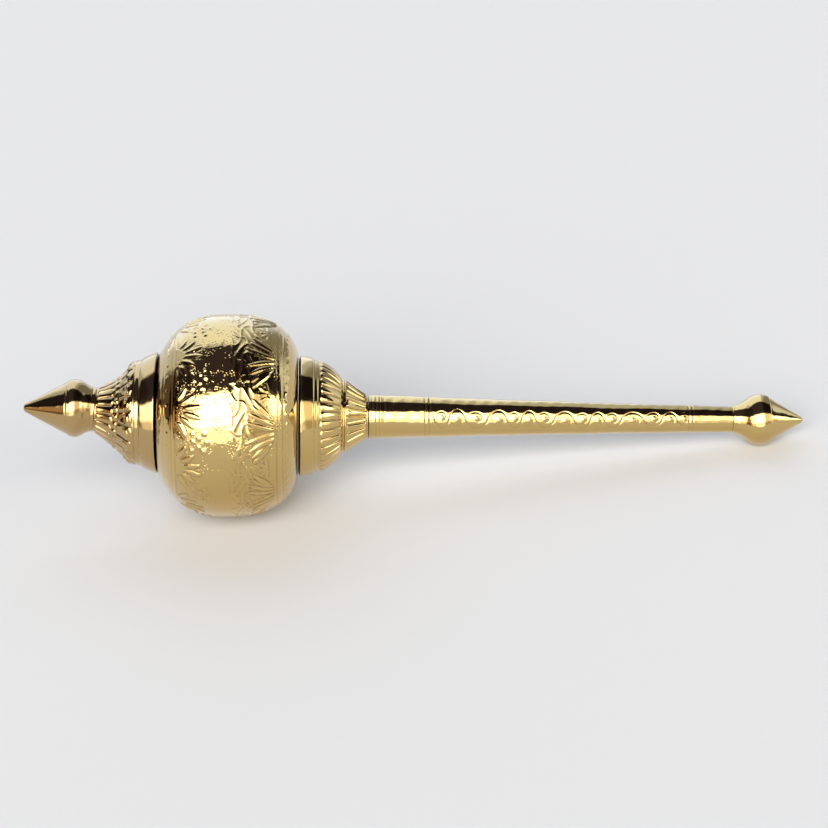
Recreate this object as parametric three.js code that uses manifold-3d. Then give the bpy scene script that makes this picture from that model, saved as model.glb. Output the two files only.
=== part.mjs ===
// A ceremonial mace (gada) of hollow sheet brass, lying loose on a flat surface.
// Six pieces share one axis: a pointed finial, a front cap with lotus petals, a big globe chased
// with fans of leaves, a rear cap with gadroons and a fluted neck, a handle tube and a pommel.
// Each piece is drawn with x running along the axis from its own front end. The lying group then
// tilts the mace until the globe and the pommel both touch z = 0.
import * as THREE from "three";
import { mergeVertices } from "three/addons/utils/BufferGeometryUtils.js";
import Module from "manifold-3d";

// Lengths of the six pieces along the axis, in millimetres: 610 in all with the joints.
const FINIAL_LENGTH = 55;
const FRONT_CAP_LENGTH = 49.25;
const GLOBE_LENGTH = 107.6;
const REAR_CAP_LENGTH = 53.8;
const HANDLE_LENGTH = 286.4;
const POMMEL_LENGTH = 56.45;
const JOINT_GAP = 0.3;

// Radii.
const FINIAL_TIP_RADIUS = 2;
const FINIAL_RIM_RADIUS = 21.2;
const NECK_RADIUS = 17.1;
const SHOULDER_RADIUS = 41.4;
const CAP_RIM_RADIUS = 47.4;
const GLOBE_RADIUS = 78.9;
const GLOBE_MOUTH_RADIUS = 48.3;
const SEAM_DEPTH = 2.2;
const REAR_STEP_RADIUS = 44.2;
const GROOVE_RADIUS = 28.8;
const HANDLE_FRONT_RADIUS = 17;
const HANDLE_REAR_RADIUS = 10.1;
const POMMEL_RADIUS = 20.2;
const POMMEL_RIM_RADIUS = 18.6;
const POMMEL_TIP_RADIUS = 1.8;

// The carving: repeats round the axis, and heights.
const PETALS = 20;
const GADROONS = 36;
const NECK_FLUTES = 24;
const PETAL_HEIGHT = 0.8;
const GADROON_HEIGHT = 0.9;
const FLUTE_DEPTH = 0.7;

// A crease between petals is this many degrees from the top, growing towards -y.
const PETAL_TURN = 13.5;

// The globe's two rings of fans. `apex` is where the middle leaf springs, measured from the globe's
// front, `way` is 1 where the fans open rearwards and -1 where they open forwards, `heading` and
// `spread` are the outer leaves' splay in degrees and their distance from the middle one at the
// base, `setback` is how far their bases fall back, and `turn` places one fan, as above.
const FRONT_FANS = {
  count: 10,
  leaves: 5,
  turn: 21.5,
  apex: 23.6,
  way: 1,
  length: 14,
  heading: 42,
  spread: 8,
  setback: 6.5,
};
const REAR_FANS = {
  count: 8,
  leaves: 6,
  turn: 25,
  apex: 91.1,
  way: -1,
  length: 24,
  heading: 34,
  spread: 7,
  setback: 0,
};
const LEAF_WIDTH = 3.6;
const LEAF_HEIGHT = 0.7;

// The front is fitted by hand: its cap sits this far above the handle's line, and the cap's neck
// bends between two stations, so that the finial sits higher still.
const CAP_RISE = 1.9;
const FINIAL_RISE = 3.5;
const BEND_FROM = 40;
const BEND_TO = 84;

// The two circles that touch the ground when the mace lies, each by its station from the tip and
// its radius, and how deep the small flat is that keeps it from rolling there.
const GLOBE_REST = { station: 172.6, radius: 77.9, flat: 0.8 };
const POMMEL_REST = { station: 578.3, radius: 20.05, flat: 0.4 };

const GLOBE_SEGMENTS = 36;
const PETAL_SEGMENTS = 4;
const GADROON_SEGMENTS = 3;
const FLUTE_SEGMENTS = 3;
const PLAIN_SEGMENTS = 24;

const frontCapStart = FINIAL_LENGTH + JOINT_GAP;
const globeStart = frontCapStart + FRONT_CAP_LENGTH + JOINT_GAP;
const rearCapStart = globeStart + GLOBE_LENGTH + JOINT_GAP;
const handleStart = rearCapStart + REAR_CAP_LENGTH + JOINT_GAP;
const pommelStart = handleStart + HANDLE_LENGTH + JOINT_GAP;

const { smoothstep, degToRad } = THREE.MathUtils;
const wasm = await Module();
wasm.setup();

// The points of an outline, front to rear. Each stretch goes to [x, radius]: straight, or in
// `rows` steps along a curve where `via` gives its one or two control points.
function outline(start, stretches) {
  const path = new THREE.Path().moveTo(...start);
  const points = [new THREE.Vector2(...start)];
  for (const { to, via = [], rows = 1 } of stretches) {
    if (via.length === 2) path.bezierCurveTo(...via[0], ...via[1], ...to);
    else if (via.length === 1) path.quadraticCurveTo(...via[0], ...to);
    else path.lineTo(...to);
    points.push(...path.curves.at(-1).getPoints(rows).slice(1));
  }
  return points;
}

// The radius of an outline at x.
function radiusAt(points, x) {
  const i = Math.max(1, points.findIndex((p) => p.x >= x));
  const [a, b] = [points[i - 1], points[i]];
  return a.y + ((b.y - a.y) * (x - a.x)) / (b.x - a.x);
}

// A solid turned about x and then carved: relief(x, angle) is added to its radius.
// The angle is in radians from the top, growing towards -y.
function turned(points, segments, relief = () => 0) {
  const profile = points.map(({ x, y }) => new THREE.Vector2(y, x));
  const geometry = new THREE.LatheGeometry(profile, segments).rotateZ(-Math.PI / 2);
  const position = geometry.getAttribute("position");
  for (let i = 0; i < position.count; i++) {
    const [x, y, z] = [position.getX(i), position.getY(i), position.getZ(i)];
    const radius = Math.hypot(y, z);
    if (radius < 1e-3) continue;
    const scale = 1 + relief(x, Math.atan2(-y, z)) / radius;
    position.setXYZ(i, x, y * scale, z * scale);
  }
  geometry.computeVertexNormals();
  return geometry;
}

// A closed geometry as a solid that can be joined and cut.
function toSolid(geometry) {
  const bare = geometry.clone();
  bare.deleteAttribute("normal");
  bare.deleteAttribute("uv");
  const merged = mergeVertices(bare, 1e-3);
  const mesh = new wasm.Mesh({
    numProp: 3,
    vertProperties: merged.getAttribute("position").array,
    triVerts: new Uint32Array(merged.index.array),
  });
  return new wasm.Manifold(mesh);
}

function toGeometry(solid) {
  const { vertProperties, triVerts } = solid.getMesh();
  const geometry = new THREE.BufferGeometry();
  geometry.setAttribute("position", new THREE.BufferAttribute(vertProperties, 3));
  geometry.setIndex(new THREE.BufferAttribute(triVerts, 1));
  geometry.computeVertexNormals();
  return geometry;
}

// 1 between two stations, fading to 0 over `soft` millimetres either side of each.
function between(x, from, to, soft) {
  return smoothstep(x, from - soft, from + soft) * (1 - smoothstep(x, to - soft, to + soft));
}

// `count` round lobes share the circle: 0 in the creases, one of which is at `turn` degrees.
function lobes(angle, count, turn) {
  return Math.abs(Math.sin((count * (angle - degToRad(turn))) / 2));
}

// Height of the bent neck's centre line above the cap's, at a station from the tip.
function rise(station) {
  return FINIAL_RISE * (1 - smoothstep(station, BEND_FROM, BEND_TO));
}

// Sets each ring of a piece on the bent centre line, square to it.
function bent(geometry, pieceStart) {
  const position = geometry.getAttribute("position");
  for (let i = 0; i < position.count; i++) {
    const [x, z] = [position.getX(i), position.getZ(i)];
    const station = pieceStart + x;
    const slope = (rise(station + 1) - rise(station - 1)) / 2;
    position.setX(i, x - slope * z);
    position.setZ(i, z + rise(station));
  }
  geometry.computeVertexNormals();
  return geometry;
}

function finialGeometry() {
  const points = outline(
    [0, 0],
    [
      { to: [1.4, 3.3], via: [[0, FINIAL_TIP_RADIUS]], rows: 2 },
      { to: [34.1, FINIAL_RIM_RADIUS - 0.6] },
      { to: [34.9, FINIAL_RIM_RADIUS] },
      { to: [46.4, 20.2], via: [[39.8, 24.4]], rows: 3 },
      { to: [FINIAL_LENGTH, NECK_RADIUS], via: [[50.7, NECK_RADIUS]], rows: 2 },
      { to: [FINIAL_LENGTH, 0] },
    ],
  );
  return bent(turned(points, PLAIN_SEGMENTS), 0);
}

// Two rings of lotus petals on the flare, a shoulder, and a plain band beside the globe.
function frontCapGeometry() {
  const end = FRONT_CAP_LENGTH;
  const points = outline(
    [0, 0],
    [
      { to: [0, NECK_RADIUS] },
      { to: [14.4, 25.5], via: [[5.5, 18.4]], rows: 3 },
      { to: [26.4, 37.2], via: [[19.6, 29.6]], rows: 2 },
      { to: [31, SHOULDER_RADIUS - 1.2] },
      { to: [35.6, SHOULDER_RADIUS] },
      { to: [37, SHOULDER_RADIUS + 1.5] },
      { to: [end - 1.4, CAP_RIM_RADIUS] },
      { to: [end, CAP_RIM_RADIUS - SEAM_DEPTH] },
      { to: [end, 0] },
    ],
  );
  const petalAngle = 360 / PETALS;
  const relief = (x, angle) =>
    PETAL_HEIGHT * lobes(angle, PETALS, PETAL_TURN) * between(x, 1.5, 13, 1.5) +
    PETAL_HEIGHT * lobes(angle, PETALS, PETAL_TURN + petalAngle / 2) * between(x, 17, 28.5, 2);
  return bent(turned(points, PETAL_SEGMENTS * PETALS, relief), frontCapStart);
}

// One leaf: a low keeled lens on the skin of the globe. It springs from (x, angle) and runs
// `heading` radians from the rearward way, turning towards a growing angle.
function leafSolid(skin, x, angle, heading, length) {
  const middle = x + (length / 2) * Math.cos(heading);
  const radius = radiusAt(skin, middle);
  const turn = angle + ((length / 2) * Math.sin(heading)) / radius;
  const slope = radiusAt(skin, middle + 0.5) - radiusAt(skin, middle - 0.5);
  const [sin, cos] = [Math.sin(turn), Math.cos(turn)];
  const out = new THREE.Vector3(-slope, -sin, cos).normalize();
  const rearward = new THREE.Vector3(1, -slope * sin, slope * cos).normalize();
  const round = new THREE.Vector3(0, -cos, -sin);
  const along = rearward.multiplyScalar(Math.cos(heading)).addScaledVector(round, Math.sin(heading));
  const across = out.clone().cross(along);
  const sunk = length ** 2 / (6 * radius);
  const place = new THREE.Matrix4().makeBasis(along, across, out);
  place.setPosition(middle, -radius * sin - out.y * sunk, radius * cos - out.z * sunk);
  const lens = new THREE.OctahedronGeometry(1).scale(length / 2, LEAF_WIDTH / 2, LEAF_HEIGHT + sunk);
  return toSolid(lens.applyMatrix4(place));
}

// Every leaf of one ring of fans.
function fanRing(skin, { count, leaves, turn, apex, way, length, heading, spread, setback }) {
  const solids = [];
  for (let fan = 0; fan < count; fan++) {
    for (let leaf = 0; leaf < leaves; leaf++) {
      const side = (2 * leaf) / (leaves - 1) - 1;
      const x = apex - way * setback * Math.abs(side);
      const angle = degToRad(turn + (360 * fan) / count) + (side * spread) / radiusAt(skin, x);
      const splay = degToRad(heading * side);
      const reach = length * (1 - 0.2 * Math.abs(side));
      solids.push(leafSolid(skin, x, angle, way > 0 ? splay : Math.PI - splay, reach));
    }
  }
  return solids;
}

// A full round body, its mouths drawn in at the seams, with two rings of fans chased up on it.
function globeGeometry() {
  const end = GLOBE_LENGTH;
  const equator = 51.9;
  const front = { to: [equator, GLOBE_RADIUS], via: [[3.4, 52.2], [13.4, GLOBE_RADIUS]] };
  const rear = { to: [end, GLOBE_MOUTH_RADIUS], via: [[97, GLOBE_RADIUS], [105.4, 57.4]] };
  const mouth = [0, GLOBE_MOUTH_RADIUS];
  const skin = outline(mouth, [{ ...front, rows: 60 }, { ...rear, rows: 60 }]);
  const points = [
    new THREE.Vector2(0, 0),
    new THREE.Vector2(0, GLOBE_MOUTH_RADIUS - SEAM_DEPTH),
    ...outline(mouth, [{ ...front, rows: 6 }, { ...rear, rows: 7 }]).slice(1, -1),
    new THREE.Vector2(end, GLOBE_MOUTH_RADIUS - SEAM_DEPTH),
    new THREE.Vector2(end, 0),
  ];
  const body = toSolid(turned(points, GLOBE_SEGMENTS));
  const leaves = [...fanRing(skin, FRONT_FANS), ...fanRing(skin, REAR_FANS)];
  return toGeometry(leaves.reduce((whole, leaf) => whole.add(leaf), body));
}

// A plain band, a step and a gadrooned dome down to a groove, and the fluted neck behind it.
function rearCapGeometry() {
  const end = REAR_CAP_LENGTH;
  const groove = 34.6;
  const dome = outline(
    [0, 0],
    [
      { to: [0, CAP_RIM_RADIUS - SEAM_DEPTH] },
      { to: [1.6, CAP_RIM_RADIUS] },
      { to: [11.2, 45.5] },
      { to: [12.6, REAR_STEP_RADIUS] },
      { to: [16.4, REAR_STEP_RADIUS - 2] },
      { to: [groove - 1.6, 29.6], via: [[24.6, 39.6]], rows: 3 },
      { to: [groove, GROOVE_RADIUS - 0.8] },
      { to: [groove, 0] },
    ],
  );
  const neck = outline(
    [groove - 2, 0],
    [
      { to: [groove - 2, GROOVE_RADIUS - 1.3] },
      { to: [groove, GROOVE_RADIUS - 1.3] },
      { to: [groove + 1.4, GROOVE_RADIUS] },
      { to: [50.6, 17.8], via: [[43.6, 22.1]], rows: 2 },
      { to: [end, HANDLE_FRONT_RADIUS] },
      { to: [end, 0] },
    ],
  );
  const gadroons = (x, angle) =>
    GADROON_HEIGHT * lobes(angle, GADROONS, 0) * between(x, 17.8, groove - 1.8, 1.2);
  const flutes = (x, angle) =>
    -FLUTE_DEPTH * (1 - lobes(angle, NECK_FLUTES, 0)) * between(x, groove + 2, 51, 1.2);
  const domeSolid = toSolid(turned(dome, GADROON_SEGMENTS * GADROONS, gadroons));
  return toGeometry(domeSolid.add(toSolid(turned(neck, FLUTE_SEGMENTS * NECK_FLUTES, flutes))));
}

// A tapering tube with a collar at its front and three turned rings.
function handleGeometry() {
  const end = HANDLE_LENGTH;
  const collar = HANDLE_FRONT_RADIUS + 0.3;
  const points = outline(
    [0, 0],
    [
      { to: [0, HANDLE_FRONT_RADIUS - 0.2] },
      { to: [0.6, collar] },
      { to: [9.5, collar] },
      { to: [10.3, HANDLE_FRONT_RADIUS] },
      { to: [end, HANDLE_REAR_RADIUS], via: [[142, 12.75]], rows: 6 },
      { to: [end, 0] },
    ],
  );
  return turned(points, PLAIN_SEGMENTS);
}

function pommelGeometry() {
  const end = POMMEL_LENGTH;
  const points = outline(
    [0, 0],
    [
      { to: [0, HANDLE_REAR_RADIUS + 0.2] },
      { to: [10.6, 15.4], via: [[5.3, 11.2]], rows: 2 },
      { to: [21.8, POMMEL_RADIUS], via: [[16.2, 20]], rows: 2 },
      { to: [28.2, POMMEL_RIM_RADIUS], via: [[26, POMMEL_RADIUS]], rows: 2 },
      { to: [28.7, POMMEL_RIM_RADIUS - 0.5] },
      { to: [end - 1.2, POMMEL_TIP_RADIUS + 0.6] },
      { to: [end, 0], via: [[end, POMMEL_TIP_RADIUS]], rows: 2 },
    ],
  );
  return turned(points, PLAIN_SEGMENTS);
}

// The small flat spot: what reaches below the ground plane is cut away.
function cutFlat(mesh) {
  mesh.updateWorldMatrix(true, false);
  const below = new THREE.BoxGeometry(1000, 400, 40).translate(0, 0, -20);
  below.applyMatrix4(mesh.matrixWorld.clone().invert());
  mesh.geometry = toGeometry(toSolid(mesh.geometry).subtract(toSolid(below)));
}

function piece(name, geometry, start, brass) {
  const mesh = new THREE.Mesh(geometry, new THREE.MeshStandardMaterial({ metalness: 1, ...brass }));
  mesh.name = name;
  mesh.position.x = start;
  return mesh;
}

// The tilt that sets both flats on the ground, and the height of the tip's axis above it.
function lyingPose() {
  const run = POMMEL_REST.station - GLOBE_REST.station;
  const drop = GLOBE_REST.radius - POMMEL_REST.radius;
  const deeper = GLOBE_REST.flat - POMMEL_REST.flat;
  const tilt = Math.atan2(drop, run) - Math.asin(deeper / Math.hypot(run, drop));
  const { station, radius, flat } = GLOBE_REST;
  return { tilt, height: station * Math.sin(tilt) + radius * Math.cos(tilt) - flat };
}

const polished = { color: 0xcaa453, roughness: 0.16 };
const satin = { color: 0xb8934a, roughness: 0.24 };

const { tilt, height } = lyingPose();
const front = new THREE.Group();
front.position.z = CAP_RISE;
front.add(
  piece("tip_finial", finialGeometry(), 0, satin),
  piece("front_cap", frontCapGeometry(), frontCapStart, satin),
);
const lying = new THREE.Group();
lying.rotation.y = tilt;
lying.position.z = height;
lying.add(
  front,
  piece("globe_head", globeGeometry(), globeStart, polished),
  piece("rear_cap", rearCapGeometry(), rearCapStart, polished),
  piece("handle_tube", handleGeometry(), handleStart, polished),
  piece("pommel", pommelGeometry(), pommelStart, polished),
);

// The origin is the middle of the footprint, on the ground.
const mace = new THREE.Group();
mace.add(lying);
const footprint = new THREE.Box3().setFromObject(mace, true);
lying.position.x = -(footprint.min.x + footprint.max.x) / 2;
cutFlat(lying.getObjectByName("globe_head"));
cutFlat(lying.getObjectByName("pommel"));

export default mace;
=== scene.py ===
"""The looks of a ceremonial brass mace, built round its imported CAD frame.

Each CAD node is replaced by a finely turned skin with the chasing raised on it. A skin is a grid of
rows along the mace and columns round it. Stations run along the mace's axis from its front tip, and
inside a piece's function from the piece's own front end. Angles are measured round the axis from the
top, growing towards -Y, the camera's side. Lengths on the mace are in millimetres, and the mace's
own axes are turned into the frame at the end.
"""

import math

import bpy
import numpy as np
from mathutils import Matrix, Vector


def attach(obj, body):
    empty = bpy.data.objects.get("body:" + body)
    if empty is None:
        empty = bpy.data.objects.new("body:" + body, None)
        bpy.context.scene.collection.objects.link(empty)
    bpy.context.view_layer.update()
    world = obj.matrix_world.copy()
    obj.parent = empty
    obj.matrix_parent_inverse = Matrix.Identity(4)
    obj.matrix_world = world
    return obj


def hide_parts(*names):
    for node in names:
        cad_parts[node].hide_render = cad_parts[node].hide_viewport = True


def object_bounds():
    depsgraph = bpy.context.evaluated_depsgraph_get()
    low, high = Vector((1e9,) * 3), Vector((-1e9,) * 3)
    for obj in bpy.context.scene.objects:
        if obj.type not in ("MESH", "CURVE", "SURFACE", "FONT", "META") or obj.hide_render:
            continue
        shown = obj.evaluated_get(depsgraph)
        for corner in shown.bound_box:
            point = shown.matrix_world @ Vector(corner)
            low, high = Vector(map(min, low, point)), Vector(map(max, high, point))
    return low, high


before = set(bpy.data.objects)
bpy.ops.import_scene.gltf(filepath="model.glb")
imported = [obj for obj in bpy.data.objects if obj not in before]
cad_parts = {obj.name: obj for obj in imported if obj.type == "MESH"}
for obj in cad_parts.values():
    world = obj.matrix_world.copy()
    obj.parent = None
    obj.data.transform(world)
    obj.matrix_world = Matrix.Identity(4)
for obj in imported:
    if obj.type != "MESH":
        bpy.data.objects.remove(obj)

cad_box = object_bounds()
MM = 0.001

# ---------------------------------------------------------------- the mace's own measures

LENGTHS = {
    "finial": 55.0,
    "front_cap": 49.25,
    "globe": 107.6,
    "rear_cap": 53.8,
    "handle": 286.4,
    "pommel": 56.45,
}
JOINT_GAP = 0.3
STARTS = {}
LENGTH = -JOINT_GAP
for _piece, _length in LENGTHS.items():
    STARTS[_piece] = LENGTH + JOINT_GAP
    LENGTH = STARTS[_piece] + _length
GLOBE_REST = (172.6, 77.9, 0.8)  # station, radius and depth of the flat that lies on the floor
POMMEL_REST = (578.3, 20.05, 0.4)
CAP_RISE = 1.9  # the front end sits off the axis: the cap by this much
FINIAL_RISE = 3.5  # and the finial by this much more
BEND = (40.0, 84.0)  # the stations between which the finial's rise fades out

_run = POMMEL_REST[0] - GLOBE_REST[0]
_drop = GLOBE_REST[1] - POMMEL_REST[1]
TILT = math.atan2(_drop, _run) - math.asin((GLOBE_REST[2] - POMMEL_REST[2]) / math.hypot(_run, _drop))
HEIGHT = GLOBE_REST[0] * math.sin(TILT) + GLOBE_REST[1] * math.cos(TILT) - GLOBE_REST[2]
OFFSET = cad_box[1].x / MM - LENGTH * math.cos(TILT)


def to_frame(x, y, z):
    """A point on the mace, in its own axes in millimetres, as frame coordinates in metres."""
    c, s = math.cos(TILT), math.sin(TILT)
    return (x * c + z * s + OFFSET) * MM, y * MM, (z * c - x * s + HEIGHT) * MM


# ---------------------------------------------------------------- shaping helpers


def smooth(x, lo, hi):
    """0 below lo, 1 above hi, smooth between."""
    q = np.clip((np.asarray(x, float) - lo) / (hi - lo), 0, 1)
    return q * q * (3 - 2 * q)


def between(x, lo, hi, soft):
    """1 between lo and hi, fading to 0 over `soft` on each side."""
    return smooth(x, lo - soft / 2, lo + soft / 2) * (1 - smooth(x, hi - soft / 2, hi + soft / 2))


def dome(distance, width):
    """A round bump: 1 at no distance, 0 from `width` on."""
    q = np.clip(np.abs(distance) / width, 0, 1)
    return (1 - q * q) ** 1.5


def line(distance, width):
    """A soft line, about `width` across at half its height."""
    return np.exp(-((np.asarray(distance) / (0.6 * width)) ** 2))


def repeats(angle, count, turn):
    """The angle from the nearest of `count` equal repeats, and that repeat's number."""
    pitch = 2 * math.pi / count
    k = np.round((angle - math.radians(turn)) / pitch)
    return angle - math.radians(turn) - k * pitch, k.astype(int) % count


def bezier(points, steps):
    t = np.linspace(0, 1, steps + 1)[:, None]
    level = [np.array(p, float) for p in points]
    while len(level) > 1:
        level = [(1 - t) * a + t * b for a, b in zip(level, level[1:])]
    return level[0]


def outline(start, *stretches):
    """A fine polyline from `start`. Each stretch lists its control points, if any, and its end."""
    path = [np.array([start], float)]
    here = start
    for stretch in stretches:
        path.append(bezier([here, *stretch], 80)[1:])
        here = stretch[-1]
    return np.concatenate(path)


def turned_rows(path, spacing, rounding):
    """Rows along a polyline, evenly spaced, with its corners rounded: x, radius, arc, and normal."""
    step = 0.1
    seg = np.hypot(*np.diff(path, axis=0).T)
    arc = np.concatenate([[0], np.cumsum(seg)])
    fine = np.linspace(0, arc[-1], max(8, int(arc[-1] / step)))
    xy = np.stack([np.interp(fine, arc, path[:, i]) for i in (0, 1)], 1)
    reach = max(1, int(3 * rounding / step))
    kernel = np.exp(-0.5 * (np.arange(-reach, reach + 1) * step / rounding) ** 2)
    kernel /= kernel.sum()
    ends = xy[0], xy[-1]
    for i in (0, 1):
        before = 2 * xy[0, i] - xy[1 : reach + 1, i][::-1]
        after = 2 * xy[-1, i] - xy[-reach - 1 : -1, i][::-1]
        xy[:, i] = np.convolve(np.concatenate([before, xy[:, i], after]), kernel, "valid")
    xy[0], xy[-1] = ends
    tangent = np.gradient(xy, axis=0)
    tangent /= np.hypot(*tangent.T)[:, None]
    count = max(4, int(round(arc[-1] / spacing)))
    at = np.linspace(0, fine[-1], count + 1)
    take = lambda values: np.interp(at, fine, values)
    return take(xy[:, 0]), take(xy[:, 1]), at, -take(tangent[:, 1]), take(tangent[:, 0])


class Grid:
    """The rows and columns of one piece, from its own front end.

    s, r and a are the station, the radius and the distance along the outline of each row, phi is the
    angle of each column, and nx and nr are the outline's normal.
    """

    def __init__(self, piece, path, spacing, columns, rounding):
        station, radius, arc, nx, nr = turned_rows(path, spacing, rounding)
        self.start = STARTS[piece]
        self.s, self.r, self.a, self.nx, self.nr = (row[:, None] for row in (station, radius, arc, nx, nr))
        self.phi = (np.arange(columns) * 2 * math.pi / columns)[None, :]
        self.shape = (len(station), columns)

    def arc_at(self, station):
        return float(np.interp(station, self.s[:, 0], self.a[:, 0]))

    def flat(self):
        return np.zeros(self.shape)

    def lobes(self, count, turn):
        """`count` lobes side by side round the piece.

        Gives the angle from the lobe's middle, how far across the lobe that is, from 0 at its middle
        to 1 at its edge, and the distance from that edge.
        """
        half = math.pi / count
        angle, _ = repeats(self.phi, count, turn)
        across = np.abs(angle) / half
        return angle, across, (1 - across) * half * self.r


def leaf(u, v, start, heading, length, width, bend=0.0):
    """A long pointed leaf from `start`: its body's height and its chased outline, both 0 to 1."""
    du, dv = u - start[0], v - start[1]
    cos, sin = math.cos(heading), math.sin(heading)
    t = (du * cos + dv * sin) / length
    across = dv * cos - du * sin - bend * length * t * t
    inside = between(t, 0.03, 0.97, 0.06)
    half = width / 2 * np.sin(math.pi * np.clip(t, 0, 1) ** 0.85) ** 0.6 + 0.05
    body = inside * np.clip(1 - (across / half) ** 2, 0, 1) ** 0.7
    rim = line(np.abs(across) - half - 0.25, 0.8) * between(t, -0.02, 1.02, 0.08)
    return body, rim


def spray(u, v, leaves):
    """Leaves laid over each other: the height of their bodies and of their chased outlines."""
    bodies, rims = np.zeros(v.shape), np.zeros(v.shape)
    for start, heading, length, width, bend in leaves:
        body, rim = leaf(u, v, start, math.radians(heading), length, width, bend)
        bodies = np.maximum(bodies, body)
        rims = np.maximum(rims, rim)
    return bodies, rims


def covered(busy, strength):
    """0 where `busy` ornament stands and beside it, 1 on open ground."""
    return 1 - np.clip(blurred(busy, 1) * strength, 0, 1)


def blurred(h, reach):
    """h averaged over `reach` rows and columns on each side; the columns run round."""
    total = np.zeros_like(h)
    for k in range(-reach, reach + 1):
        total += np.roll(h, k, 1)
    total /= 2 * reach + 1
    padded = np.pad(total, ((reach, reach), (0, 0)), "edge")
    rows = h.shape[0]
    return sum(padded[k : k + rows] for k in range(2 * reach + 1)) / (2 * reach + 1)


def skin(name, node, grid, relief, material, bent=False, punched=0.0, seam=0.0):
    """Makes the skin of one piece from its grid and its relief, in place of a CAD node.

    punched and seam say, from 0 to 1, where the ground is punched and where dirt fills a seam.
    """
    rows, columns = grid.shape
    x = grid.s + grid.start + relief * grid.nx
    r = np.maximum(grid.r + relief * grid.nr, 0)
    y, z = -r * np.sin(grid.phi), r * np.cos(grid.phi)
    if bent:
        rise = lambda s: FINIAL_RISE * (1 - smooth(s, *BEND))
        slope = (rise(x + 1) - rise(x - 1)) / 2
        x, z = x - slope * z, z + rise(x) + CAP_RISE
    wx, wy, wz = to_frame(x, y, z)
    wz = np.maximum(wz, 0)
    points = np.stack([wx, wy, wz], -1).reshape(-1, 3)
    i, j = np.meshgrid(np.arange(rows - 1), np.arange(columns), indexing="ij")
    k = (j + 1) % columns
    quads = np.stack([i * columns + j, i * columns + k, (i + 1) * columns + k, (i + 1) * columns + j], -1)
    quads = quads.reshape(-1, 4)
    ends = []
    for row, turned in ((0, True), (rows - 1, False)):
        ring = row * columns + np.arange(columns)
        hub = len(points)
        points = np.concatenate([points, points[ring].mean(0)[None]])
        nxt = np.roll(ring, -1)
        ends.append(np.stack([ring, nxt, np.full(columns, hub)][:: -1 if turned else 1], -1))
    triangles = np.concatenate(ends)
    mesh = bpy.data.meshes.new(name)
    mesh.vertices.add(len(points))
    mesh.vertices.foreach_set("co", points.ravel())
    corners = np.concatenate([quads.ravel(), triangles.ravel()])
    starts = np.concatenate([np.arange(len(quads)) * 4, len(quads) * 4 + np.arange(len(triangles)) * 3])
    mesh.loops.add(len(corners))
    mesh.loops.foreach_set("vertex_index", corners.astype(np.int32))
    mesh.polygons.add(len(starts))
    mesh.polygons.foreach_set("loop_start", starts.astype(np.int32))
    mesh.polygons.foreach_set("use_smooth", np.ones(len(starts), bool))
    mesh.update(calc_edges=True)
    mesh.validate()
    hollow = np.clip((blurred(relief, 2) - relief) / 0.3 - 0.1, 0, 1)
    worn = np.clip((relief - blurred(relief, 3)) / 0.3, 0, 1)
    for label, field in (("hollow", hollow), ("worn", worn), ("punched", punched), ("seam", seam)):
        values = np.concatenate([(field + grid.flat()).ravel(), [0.0, 0.0]]).astype(np.float32)
        mesh.attributes.new(label, "FLOAT", "POINT").data.foreach_set("value", values)
    mesh.materials.append(material)
    piece = bpy.data.objects.new(name, mesh)
    bpy.context.scene.collection.objects.link(piece)
    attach(piece, "root")
    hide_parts(node)


# ---------------------------------------------------------------- the brass


BLACK, WHITE = (0.0, 0.0, 0.0), (1.0, 1.0, 1.0)
TARNISH = (0.20, 0.115, 0.04)
SEAM_DIRT = (0.05, 0.03, 0.018)


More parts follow.
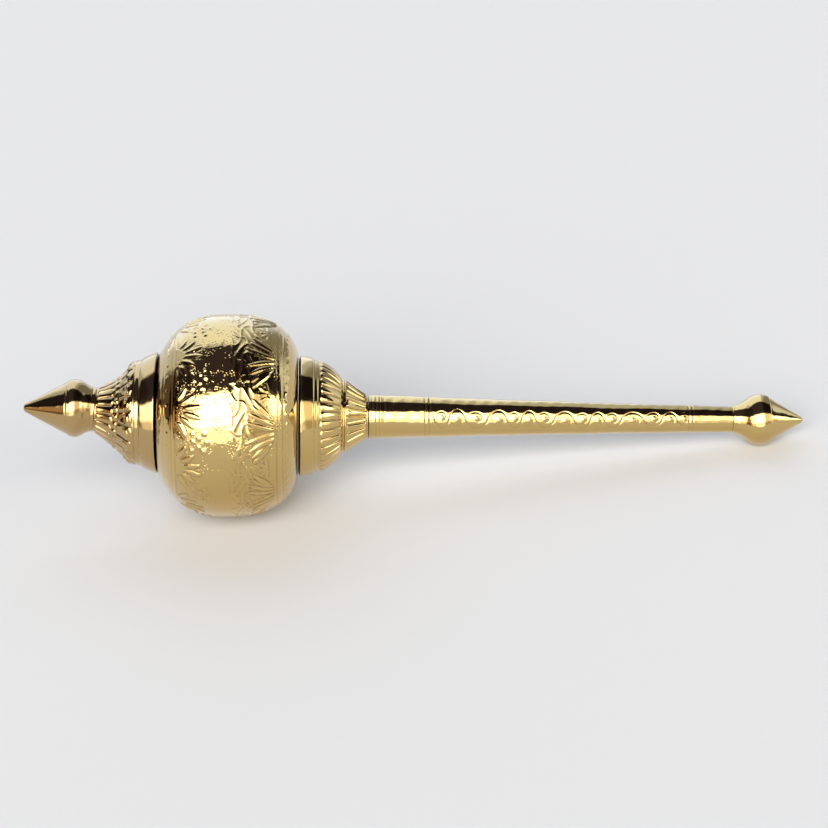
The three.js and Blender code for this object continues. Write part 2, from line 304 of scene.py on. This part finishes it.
def brass(name, colour, roughness, ripple, coat):
    """Hand-polished sheet brass: tarnish in the chasing, fine scratches, a gently beaten surface."""
    material = bpy.data.materials.new(name)
    material.use_nodes = True
    tree = material.node_tree
    nodes, links = tree.nodes, tree.links
    nodes.clear()

    def make(kind, **values):
        node = nodes.new(kind)
        for key, value in values.items():
            if hasattr(node, key):
                setattr(node, key, value)
            else:
                node.inputs[key].default_value = value
        return node

    def ramp(source, *stops):
        node = make("ShaderNodeValToRGB")
        band = node.color_ramp
        band.elements[0].position, band.elements[0].color = stops[0][0], (*stops[0][1], 1)
        band.elements[1].position, band.elements[1].color = stops[-1][0], (*stops[-1][1], 1)
        for at, tone in stops[1:-1]:
            band.elements.new(at).color = (*tone, 1)
        links.new(source, node.inputs[0])
        return node.outputs[0]

    def noise(scale, detail, stretch=(1, 1, 1), rough=0.5):
        mapping = make("ShaderNodeMapping")
        mapping.inputs["Scale"].default_value = stretch
        links.new(place.outputs["Object"], mapping.inputs[0])
        node = make("ShaderNodeTexNoise", Scale=scale, Detail=detail, Roughness=rough)
        links.new(mapping.outputs[0], node.inputs["Vector"])
        return node.outputs[0]

    def math_node(operation, a, b):
        node = make("ShaderNodeMath", operation=operation)
        for socket, value in zip(node.inputs, (a, b)):
            if isinstance(value, (int, float)):
                socket.default_value = value
            else:
                links.new(value, socket)
        return node.outputs[0]

    def mix(factor, a, b):
        node = make("ShaderNodeMix", data_type="RGBA")
        for socket, value in ((node.inputs[0], factor), (node.inputs[6], a), (node.inputs[7], b)):
            if isinstance(value, (int, float)):
                socket.default_value = value
            elif isinstance(value, tuple):
                socket.default_value = (*value, 1)
            else:
                links.new(value, socket)
        return node.outputs[2]

    place = make("ShaderNodeTexCoord")
    hollow, worn, punched, seam = (
        make("ShaderNodeAttribute", attribute_name=label).outputs["Fac"]
        for label in ("hollow", "worn", "punched", "seam")
    )

    cloud = noise(38, 4, rough=0.6)
    grime = noise(210, 3, rough=0.65)
    tone = mix(math_node("MULTIPLY", cloud, 0.35), colour, tuple(c * 0.8 for c in colour))
    film = math_node("MULTIPLY", hollow, math_node("ADD", 0.1, grime))
    tone = mix(math_node("MINIMUM", film, 0.9), tone, TARNISH)
    tone = mix(math_node("MULTIPLY", seam, 0.8), tone, SEAM_DIRT)
    tone = mix(math_node("MULTIPLY", worn, 0.35), tone, tuple(min(1, c * 1.12) for c in colour))

    cells = make("ShaderNodeTexVoronoi", feature="F1", Scale=520)
    links.new(place.outputs["Object"], cells.inputs["Vector"])
    dents = ramp(cells.outputs["Distance"], (0.12, BLACK), (0.38, WHITE))
    sparse = ramp(noise(95, 2), (0.44, BLACK), (0.60, WHITE))
    dents = mix(math_node("MULTIPLY", punched, sparse), WHITE, dents)

    def bump(height, strength, depth, below=None):
        node = make("ShaderNodeBump", Strength=strength, Distance=depth)
        links.new(height, node.inputs["Height"])
        if below is not None:
            links.new(below, node.inputs["Normal"])
        return node.outputs[0]

    broad = bump(noise(62, 2, rough=0.45), 0.5, ripple)
    beaten = bump(noise(260, 1, rough=0.4), 0.5, ripple * 0.3, broad)
    scratched = bump(noise(1500, 3, (0.12, 1, 1)), 0.18, 0.00006, beaten)
    dented = bump(dents, 0.9, 0.0003, scratched)

    smudge = noise(24, 5, rough=0.7)
    rough = math_node("ADD", roughness - 0.05, math_node("MULTIPLY", smudge, 0.1))
    rough = math_node("ADD", rough, math_node("MULTIPLY", hollow, 0.22))

    shader = make("ShaderNodeBsdfPrincipled")
    shader.inputs["Metallic"].default_value = 1.0
    shader.inputs["Coat Weight"].default_value = coat
    shader.inputs["Coat Roughness"].default_value = 0.05
    links.new(tone, shader.inputs["Base Color"])
    links.new(rough, shader.inputs["Roughness"])
    links.new(dented, shader.inputs["Normal"])
    links.new(beaten, shader.inputs["Coat Normal"])
    output = make("ShaderNodeOutputMaterial")
    links.new(shader.outputs[0], output.inputs[0])
    return material


polished = brass("polished_brass", (0.615, 0.435, 0.155), roughness=0.075, ripple=0.00045, coat=0.6)
satin = brass("satin_brass", (0.50, 0.345, 0.14), roughness=0.09, ripple=0.0004, coat=0.4)

# ---------------------------------------------------------------- finial


def finial():
    """The cone with its bright rim, the bulb under it and the short neck."""
    path = outline(
        (0, 0),
        [(0, 2.0), (1.4, 3.3)],
        [(33.7, 20.4)],
        [(34.2, 20.2)],
        [(34.9, 21.2)],
        [(39.8, 24.4), (46.4, 20.2)],
        [(50.7, 17.1), (55, 17.1)],
    )
    g = Grid("finial", path, 0.5, 144, 0.2)
    h = g.flat()
    # not quite round, as hand-finished work is
    h += 0.10 * np.sin(5 * g.phi + 1.0) * between(g.s, 8, 33, 12)
    h += 0.12 * np.sin(3 * g.phi + g.s / 9) * between(g.s, 37, 53, 6)
    # the bright rim and the line at the foot of the neck
    h += 0.25 * line(g.s - 35.0, 0.9)
    h -= 0.3 * line(g.s - 52.6, 0.8)
    skin("finial_skin", "tip_finial", g, h, satin, bent=True)


# ---------------------------------------------------------------- front cap

PETALS = 20
PETAL_TURN = 13.5  # degrees from the top to a petal's middle
BEADS = 28
BEAD_TURN = 17.5
BEAD_SIZES = np.array([1.0, 0.82, 1.08, 0.9])
BEAD_RING = 16.4
LIP_AT = 24.6  # the station of the bead under each petal's lip


def front_cap():
    """Two rings of lotus petals with a ring of beads between them, and a plain stepped band."""
    path = outline(
        (0, 17.0),
        [(5.5, 18.4), (14.4, 25.5)],
        [(19.6, 29.6), (26.4, 37.2)],
        [(28.6, 39.4), (31, 40.3)],
        [(35.4, 41.4)],
        [(36.8, 42.8)],
        [(42.4, 45.8), (47.9, 47.4)],
        [(49.25, 45.1)],
    )
    g = Grid("front_cap", path, 0.5, 480, 0.3)
    h = g.flat()
    # the first ring: long tongues with round ends, parted by creases
    _, across, aside = g.lobes(PETALS, PETAL_TURN + 180 / PETALS)
    tongue = smooth(g.s, 1.0, 2.6) * (1 - smooth(g.s, 13.0 - 2.2 * across**2, 14.2 - 2.2 * across**2))
    h += 0.85 * tongue * (1 - across**2) ** 0.6
    h += 0.45 * line(g.s - (14.0 - 2.2 * across**2), 0.9)
    h -= 0.35 * line(aside, 0.9) * between(g.s, 1.5, 13.0, 1.5)
    # a ring of plump beads between the two rings of petals
    b, k = repeats(g.phi, BEADS, BEAD_TURN)
    size = BEAD_SIZES[k % len(BEAD_SIZES)]
    h += 0.95 * size * dome(np.hypot((g.a - g.arc_at(BEAD_RING)) / 1.15, g.r * b), 2.7)
    # the second ring, set half way round: cupped petals with a bead under a curled lip
    c, across, aside = g.lobes(PETALS, PETAL_TURN)
    petal = smooth(g.s, 18.2, 19.4) * (1 - smooth(g.s, 30.6 - 2.6 * across**2, 31.8 - 2.6 * across**2))
    h += 0.75 * petal * (1 - across**2) ** 0.5
    h -= 0.4 * line(aside, 1.1) * between(g.s, 18.5, 30.5, 2)
    h -= 0.25 * line(g.s - 18.2, 0.9)
    v = g.r * c
    u = g.a - g.arc_at(LIP_AT)
    h -= 0.7 * dome(np.hypot(u * 0.75 + 0.6, v + 0.3), 4.3) * petal
    h += 1.15 * dome(np.hypot(u, v + 1.9), 1.7)
    lip = np.hypot(u - 0.6, v - 1.0)
    h += 0.75 * line(lip - 4.0, 1.6) * smooth(u, -0.5, 2.5) * between(v, -3.4, 5.0, 1.5)
    # turned lines beside the shoulder
    for at, deep, wide in ((32.3, 0.3, 0.8), (36.0, 0.3, 0.9)):
        h -= deep * line(g.s - at, wide)
    h += 0.12 * np.sin(4 * g.phi + 0.4) * between(g.s, 37, 48, 5)
    skin("front_cap_skin", "front_cap", g, h, satin, bent=True, seam=smooth(g.s, 47.9, 48.9))


# ---------------------------------------------------------------- globe


BELT_RADIUS = 78


def squiggles(u, phi, width):
    """Thin winding ridges, like freely chased tendrils, over a stretch of the skin."""
    field = np.sin(0.60 * u + 1.8 * np.sin(17 * phi + 0.6))
    field = field + np.sin(26 * phi + 1.5 * np.sin(0.47 * u + 1.0))
    along = np.gradient(field, u[:, 0], axis=0)
    around = np.gradient(field, axis=1) / (phi[0, 1] - phi[0, 0]) / BELT_RADIUS
    return line(field / np.maximum(np.hypot(along, around), 0.12), width)


DOTS = 36
FRONT_FANS = 10
FRONT_FAN_TURN = 21.5
FRONT_FAN_AT = 23.9  # the station that the leaves spring from
BERRIES_AT = 29.0
BERRY_SPOTS = (  # along and across, from the middle of a cluster's front edge
    (0.5, -6.6),
    (0.8, 0.2),
    (0.2, 6.4),
    (5.6, -3.8),
    (6.0, 2.8),
    (11.2, -0.6),
    (9.4, -7.4),
    (9.0, 6.8),
)
REAR_FANS = 8
REAR_FAN_TURN = 25
REAR_FAN_AT = 90.9
SPRIGS_AT = 86.0
BOSSES = 50
BOSSES_AT = 99.6


def front_border(g, rng):
    """A fine line, a row of dots, and a pair of lines with a smooth band between."""
    d, k = repeats(g.phi, DOTS, 3)
    size = rng.uniform(0.7, 1.15, DOTS)[k]
    h = 0.45 * size * dome(np.hypot(g.a - g.arc_at(9.3), g.r * d), 1.5)
    h += 0.22 * between(g.s, 13.6, 15.6, 0.8)
    for at in (6.4, 13.0, 16.2):
        h -= 0.16 * line(g.s - at, 0.9)
    return h


def front_fans(g, rng):
    """Bursts of short leaves, each from a plain triangle: their height, and where they stand."""
    sway = rng.uniform(-1.6, 1.6, FRONT_FANS)
    a, k = repeats(g.phi, FRONT_FANS, FRONT_FAN_TURN)
    u = g.a - g.arc_at(FRONT_FAN_AT)
    v = g.r * a + sway[k] * smooth(u, -6, 14)
    leaves = [
        ((-7.2 * abs(side) ** 1.2, 8.2 * side), 42 * side, 15.0 - 2.0 * abs(side), 4.3, 0.22 * side)
        for side in (-1.0, -0.62, -0.22, 0.2, 0.6, 1.0)
    ]
    bodies, rims = spray(u, v, leaves)
    h = 0.62 * bodies - 0.26 * rims * (1 - bodies)
    # the plain triangle, with a raised arc down each side
    edge = np.abs(v) - 9.6 * np.clip(-u / 10.0, 0, 1) ** 0.75
    h += 0.42 * line(edge, 1.4) * between(u, -9.4, 0.4, 1.5)
    h += 0.2 * smooth(-edge, 0.3, 1.6) * between(u, -9.4, 0.0, 1.5)
    return h, bodies


def berry_clusters(g, rng):
    """Loose clusters of berries between the front fans."""
    b, k = repeats(g.phi, FRONT_FANS, FRONT_FAN_TURN + 180 / FRONT_FANS)
    berries = g.flat()
    for du, dv in BERRY_SPOTS:
        wander = rng.uniform(-0.9, 0.9, (FRONT_FANS, 2))
        size = rng.uniform(1.5, 2.3, FRONT_FANS)[k]
        where = np.hypot(g.a - g.arc_at(BERRIES_AT) - du - wander[k, 0], g.r * b - dv - wander[k, 1])
        berries = np.maximum(berries, dome(where, size))
    return berries


def rear_fans(g, rng):
    """Long leaves side by side, in a V whose point is on the rear border."""
    sway = rng.uniform(-1.8, 1.8, REAR_FANS)
    f, k = repeats(g.phi, REAR_FANS, REAR_FAN_TURN)
    u = g.arc_at(REAR_FAN_AT) - g.a
    v = g.r * f + sway[k] * smooth(u, 0, 24)
    leaves = [
        ((0.5 * n * n, side * (1.6 + 3.5 * n)), side * (9 + 9.5 * n), 25.0 - 2.0 * n, 3.9, 0.13 * side)
        for side in (-1, 1)
        for n in range(4)
    ]
    bodies, rims = spray(u, v, leaves)
    return 0.66 * bodies - 0.3 * rims * (1 - bodies), bodies


def sprigs(g):
    """Little tufts in the notches between the rear fans."""
    e, _ = repeats(g.phi, REAR_FANS, REAR_FAN_TURN + 180 / REAR_FANS)
    u, v = g.arc_at(SPRIGS_AT) - g.a, g.r * e
    h, bodies = g.flat(), g.flat()
    for side in (-1.0, -0.45, 0.1, 0.6, 1.1):
        body, rim = leaf(u, v, (0.5, 1.2 * side), math.radians(62 * side), 8.5, 3.0, 0.25 * side)
        bodies = np.maximum(bodies, body)
        h -= 0.12 * rim * (1 - body)
    return h + 0.55 * bodies, bodies


def rear_border(g, rng):
    """A smooth band between lines, then a row of leafy bosses."""
    d, k = repeats(g.phi, BOSSES, 1)
    size = rng.uniform(0.6, 1.15, BOSSES)[k]
    shift = rng.uniform(-0.5, 0.5, BOSSES)[k]
    along = g.a - g.arc_at(BOSSES_AT)
    h = 0.5 * size * dome(np.hypot((along - shift) * 1.15, g.r * d + 0.6 * along), 2.3)
    h += 0.24 * between(g.s, 92.6, 95.8, 0.8)
    for at in (92.0, 96.5):
        h -= 0.16 * line(g.s - at, 0.9)
    return h


def globe():
    """The big chased globe. The pieces of ornament draw from one generator, in this order."""
    path = outline(
        (0.2, 46.3),
        [(0, 47.8), (0.8, 49.3)],
        [(4.2, 53.6), (13.8, 78.9), (51.9, 78.9)],
        [(97, 78.9), (105.2, 57.8), (107.1, 49.3)],
        [(107.6, 47.8), (107.4, 46.3)],
    )
    g = Grid("globe", path, 0.88, 540, 0.35)
    rng = np.random.default_rng(7)
    h = front_border(g, rng)
    fans, short_leaves = front_fans(g, rng)
    berries = berry_clusters(g, rng)
    vees, long_leaves = rear_fans(g, rng)
    tufts, tuft_leaves = sprigs(g)
    h += fans + 0.95 * berries + vees + tufts
    # tendrils along the belt, densest just before the rear fans
    busy = np.maximum.reduce([short_leaves, berries, long_leaves, tuft_leaves])
    belt = 0.15 * between(g.s, 38, 64, 6) + between(g.s, 58, 76, 7)
    h += 0.5 * squiggles(g.a, g.phi, 1.2) * belt * covered(busy, 1.5)
    h += rear_border(g, rng)
    # the sheet is beaten by hand: broad unevenness
    h += 0.10 * np.sin(4 * g.phi + 0.05 * g.s) * between(g.s, 14, 100, 20)
    ground = between(g.s, 17, 98, 6) * covered(busy, 1.6)
    seam = 1 - between(g.s, 1.4, 106.2, 1.0)
    skin("globe_skin", "globe_head", g, h, polished, punched=ground, seam=seam)


# ---------------------------------------------------------------- rear cap


GADROONS = 36
FLUTES = 24
FLUTE_TURN = 7.5


def rear_cap():
    """A plain band, a gadrooned dome, a groove and a fluted neck."""
    path = outline(
        (0, 45.3),
        [(1.6, 47.4)],
        [(6, 47.0), (11.2, 45.5)],
        [(12.6, 44.2)],
        [(16.4, 42.4)],
        [(24.6, 39.6), (32.8, 29.6)],
        [(34.0, 27.7)],
        [(34.9, 27.6)],
        [(36.0, 28.8)],
        [(43.6, 22.1), (50.6, 17.8)],
        [(53.8, 17.0)],
    )
    g = Grid("rear_cap", path, 0.5, 540, 0.25)
    h = g.flat()
    # turned steps between the band and the dome
    h -= 0.3 * line(g.s - 12.0, 0.9) + 0.25 * line(g.s - 15.4, 0.9)
    h += 0.25 * line(g.s - 13.8, 1.4)
    # gadroons: low lobes with round heads, parted by sharp creases
    a, across, aside = g.lobes(GADROONS, 0)
    head = 16.6 + 1.5 * across**2
    lobe = smooth(g.s, head - 0.2, head + 1.0) * (1 - smooth(g.s, 31.6, 33.2))
    h += 0.95 * lobe * (1 - across**2) ** 0.6
    h -= 0.35 * line(aside, 0.8) * between(g.s, 17.5, 32.4, 1.5)
    h += 0.22 * line(aside - 1.1, 0.6) * between(g.s, 19.5, 31.5, 3)
    h += 0.6 * dome(np.hypot(g.a - g.arc_at(33.0), g.r * (np.abs(a) - math.pi / GADROONS)), 1.3)
    # the fluted neck
    _, across, aside = g.lobes(FLUTES, FLUTE_TURN)
    neck = between(g.s, 37.4, 51.6, 2.0)
    h -= 0.55 * neck * line(aside, 1.0)
    h += 0.3 * neck * line(aside - 1.3, 0.9) + 0.25 * neck * (1 - across**2)
    h -= 0.25 * line(g.s - 52.6, 0.8)
    skin("rear_cap_skin", "rear_cap", g, h, polished, seam=1 - smooth(g.s, 0.85, 1.75))


# ---------------------------------------------------------------- handle


RINGS = (  # stations and depths of the turned grooves
    (2.6, 0.18),
    (5.8, 0.3),
    (8.8, 0.3),
    (12.1, 0.12),
    (44.0, 0.3),
    (47.5, 0.3),
    (251.4, 0.3),
    (254.4, 0.2),
)
VINE = (50.5, 249.0)  # the stations that the vine runs between
VINE_LANES = 3
VINE_TURN = 66
VINE_WAVE = 27.3


def vine(g):
    """The running vine: winding stems with a berry and a curl in each bend."""
    stem, berry, curl = g.flat(), g.flat(), g.flat()
    amp = 0.5 * g.r
    for lane in range(VINE_LANES):
        centre = math.radians(VINE_TURN + 360 / VINE_LANES * lane)
        off = (g.phi - centre + math.pi) % (2 * math.pi) - math.pi
        drift = 0.5 * np.sin(g.s / 31 + 2 * lane) + 0.3 * np.sin(g.s / 17 + lane)
        v = g.r * off + drift
        phase = 2 * math.pi * (g.s - VINE[0]) / VINE_WAVE + 1.9 * lane
        phase = phase + 0.25 * np.sin(g.s / 23 + lane) + 0.5 * np.sin(g.s / 9.5 + 3 * lane)
        swing = np.sin(phase)
        course = amp * np.sign(swing) * np.abs(swing) ** 0.7
        slope = np.gradient(course[:, 0], g.s[:, 0])[:, None]
        stem = np.maximum(stem, line((v - course) / np.sqrt(1 + np.minimum(slope**2, 9)), 0.85))
        for up in (1, -1):
            cell = (phase - up * math.pi / 2) / (2 * math.pi)
            du = (cell - np.round(cell)) * VINE_WAVE
            dv = v + up * amp * 0.1
            rho = np.hypot(du, dv)
            berry = np.maximum(berry, dome(rho, 2.0))
            turn = np.arctan2(-up * dv, du)
            spiral = rho - 3.6 - 0.7 * turn
            curl = np.maximum(curl, line(spiral, 0.7) * between(turn, -1.4, 2.6, 0.5))
    return stem, berry, curl


def handle():
    """The tapering tube: turned rings, and a vine engraved between them."""
    path = outline(
        (0, 16.8),
        [(0.6, 17.3)],
        [(9.5, 17.3)],
        [(10.3, 17.0)],
        [(142, 12.75), (286.4, 10.1)],
    )
    g = Grid("handle", path, 0.55, 168, 0.2)
    h = g.flat()
    for at, deep in RINGS:
        h -= deep * line(g.s - at, 0.8)
    # the raised ring between the two grooves before the vine
    h += 0.15 * line(g.s - 45.8, 1.5)
    field = between(g.s, *VINE, 3)
    stem, berry, curl = vine(g)
    h -= field * (0.34 * stem + 0.24 * curl * (1 - stem))
    h += field * 0.45 * berry
    # not quite round or straight
    h += 0.07 * np.sin(2 * g.phi + 0.06 * g.s) + 0.05 * np.sin(3 * g.phi - 0.11 * g.s)
    h += 0.06 * np.sin(5 * g.phi + 0.35 * g.s) * np.sin(0.23 * g.s + 1.0)
    skin("handle_skin", "handle_tube", g, h, polished, seam=1 - smooth(g.s, 0.4, 1.0))


# ---------------------------------------------------------------- pommel


def pommel():
    """The flare and the blunt cone at the rear end."""
    path = outline(
        (0, 10.3),
        [(5.3, 11.2), (10.6, 15.4)],
        [(16.2, 20.0), (21.8, 20.2)],
        [(25.6, 20.2), (27.8, 18.9)],
        [(28.2, 18.1)],
        [(28.8, 18.1)],
        [(55.2, 2.4)],
        [(56.45, 1.8), (56.45, 0)],
    )
    g = Grid("pommel", path, 0.5, 144, 0.2)
    h = g.flat()
    h -= 0.2 * line(g.s - 1.6, 0.8)
    h += 0.22 * line(g.s - 27.4, 0.9)
    h += 0.10 * np.sin(4 * g.phi + g.s / 11) * between(g.s, 8, 26, 8)
    h += 0.08 * np.sin(5 * g.phi) * between(g.s, 32, 52, 8)
    skin("pommel_skin", "pommel", g, h, polished)


finial()
front_cap()
globe()
rear_cap()
handle()
pommel()

# ---------------------------------------------------------------- floor, light and camera

scene = bpy.context.scene
scene.view_settings.view_transform = "Standard"
scene.view_settings.look = "None"


FLOOR_HALF = 12.0
FLOOR_COLOUR = (0.60, 0.60, 0.595)


def floor():
    """A plain pale floor at z = 0."""
    mesh = bpy.data.meshes.new("floor")
    corners = [(x * FLOOR_HALF, y * FLOOR_HALF, 0) for x, y in ((-1, -1), (1, -1), (1, 1), (-1, 1))]
    mesh.from_pydata(corners, [], [(0, 1, 2, 3)])
    material = bpy.data.materials.new("pale_floor")
    material.use_nodes = True
    shader = material.node_tree.nodes["Principled BSDF"]
    shader.inputs["Base Color"].default_value = (*FLOOR_COLOUR, 1)
    shader.inputs["Roughness"].default_value = 0.9
    shader.inputs["Specular IOR Level"].default_value = 0.1
    mesh.materials.append(material)
    obj = bpy.data.objects.new("floor", mesh)
    scene.collection.objects.link(obj)


ROOM_STRENGTH = 6.6
FRONT_WALL, WALL_FOOT, CEILING = (1.0, 0.98, 0.96), (0.42, 0.41, 0.39), (0.008, 0.0065, 0.010)
FAR_WALL = (0.205, 0.235, 0.285)
ROOM_UP = (  # degrees round the x axis: 0 at the camera's horizon, 90 overhead, 180 at the far one
    (0.0, WALL_FOOT),
    (15.3, WALL_FOOT),
    (20.7, FRONT_WALL),
    (54.0, FRONT_WALL),
    (58.5, CEILING),
    (113.4, CEILING),
    (118.8, FAR_WALL),
    (180.0, FAR_WALL),
)
BROWN_WALL, LEFT_WALL, RIGHT_WALL = (0.10, 0.065, 0.04), (0.55, 0.54, 0.52), (0.5, 0.5, 0.5)
DIM_CORNER, END_WALL = (0.24, 0.22, 0.19), (0.75, 0.75, 0.72)
ROOM_ACROSS = (  # from straight left, 0, to straight right, 1
    (0.0, BROWN_WALL),
    (0.082, BROWN_WALL),
    (0.108, LEFT_WALL),
    (0.20, LEFT_WALL),
    (0.235, WHITE),
    (0.58, WHITE),
    (0.61, RIGHT_WALL),
    (0.65, RIGHT_WALL),
    (0.70, DIM_CORNER),
    (0.86, DIM_CORNER),
    (0.93, END_WALL),
    (1.0, END_WALL),
)


def surroundings():
    """A plain soft room: a bright wide wall behind the camera, a dim ceiling, a pale wall beyond."""
    world = bpy.data.worlds.new("soft_room")
    scene.world = world
    world.use_nodes = True
    tree = world.node_tree
    nodes, links = tree.nodes, tree.links
    nodes.clear()
    where = nodes.new("ShaderNodeTexCoord")
    split = nodes.new("ShaderNodeSeparateXYZ")
    links.new(where.outputs["Generated"], split.inputs[0])

    def calc(operation, a, b=0.0):
        node = nodes.new("ShaderNodeMath")
        node.operation = operation
        for socket, value in zip(node.inputs, (a, b)):
            if isinstance(value, (int, float)):
                socket.default_value = value
            else:
                links.new(value, socket)
        return node.outputs[0]

    def ramp(source, stops):
        node = nodes.new("ShaderNodeValToRGB")
        band = node.color_ramp
        while len(band.elements) > 1:
            band.elements.remove(band.elements[-1])
        for n, (at, tone) in enumerate(stops):
            element = band.elements[0] if n == 0 else band.elements.new(at)
            element.position, element.color = at, (*tone, 1)
        links.new(source, node.inputs[0])
        return node.outputs[0]

    turn = calc("ARCTAN2", split.outputs["Z"], calc("MULTIPLY", split.outputs["Y"], -1.0))
    around = ramp(calc("DIVIDE", turn, math.pi), [(angle / 180, tone) for angle, tone in ROOM_UP])
    side = calc("ADD", calc("MULTIPLY", split.outputs["X"], 0.5), 0.5)
    left_right = ramp(side, ROOM_ACROSS)
    product = nodes.new("ShaderNodeMix")
    product.data_type = "RGBA"
    product.blend_type = "MULTIPLY"
    product.inputs[0].default_value = 1.0
    links.new(around, product.inputs[6])
    links.new(left_right, product.inputs[7])
    light = nodes.new("ShaderNodeBackground")
    light.inputs["Strength"].default_value = ROOM_STRENGTH
    links.new(product.outputs[2], light.inputs[0])
    out = nodes.new("ShaderNodeOutputWorld")
    links.new(light.outputs[0], out.inputs[0])


def soft_key():
    """A very broad soft lamp that lights the floor evenly."""
    lamp = bpy.data.lights.new("soft_key", "SUN")
    lamp.energy = 0.5
    lamp.angle = math.radians(60)
    obj = bpy.data.objects.new("soft_key", lamp)
    obj.rotation_euler = (math.radians(-25), math.radians(10), 0)
    obj.visible_glossy = False
    scene.collection.objects.link(obj)


NEAR_STATION = 224.0  # the station that the camera is nearest to
CAMERA_DISTANCE = 1600.0
VIEW_ANGLE = math.radians(60)  # from straight above the mace's axis, round towards the side
LOOK_AHEAD = math.radians(2.82)  # the camera looks this far to the rear of the nearest station
LOOK_UP = 2.2  # and this far above the axis
ROLL = math.radians(0.44)
LENS = 88.97
SENSOR = 36


def camera():
    """The camera looks across the mace from the side and above, nearer its head."""
    axis = Vector((math.cos(TILT), 0, -math.sin(TILT)))
    up = Vector((math.sin(TILT), 0, math.cos(TILT)))
    away = Vector((0, -1, 0)) * math.sin(VIEW_ANGLE) + up * math.cos(VIEW_ANGLE)
    eye = Vector(to_frame(NEAR_STATION, 0, 0)) + away * CAMERA_DISTANCE * MM
    ahead = NEAR_STATION + CAMERA_DISTANCE * math.tan(LOOK_AHEAD)
    lift = up * math.sin(VIEW_ANGLE) + Vector((0, 1, 0)) * math.cos(VIEW_ANGLE)
    target = Vector(to_frame(ahead, 0, 0)) + lift * LOOK_UP * MM
    forward = (target - eye).normalized()
    level = (axis - forward * axis.dot(forward)).normalized()
    above = level.cross(forward)
    right = level * math.cos(ROLL) + above * math.sin(ROLL)
    above = right.cross(forward)
    data = bpy.data.cameras.new("camera")
    data.lens = LENS
    data.sensor_width = SENSOR
    data.clip_end = 60
    obj = bpy.data.objects.new("camera", data)
    turn = Matrix((right, above, -forward)).transposed().to_4x4()
    obj.matrix_world = Matrix.Translation(eye) @ turn
    scene.collection.objects.link(obj)
    scene.camera = obj


floor()
surroundings()
soft_key()
camera()
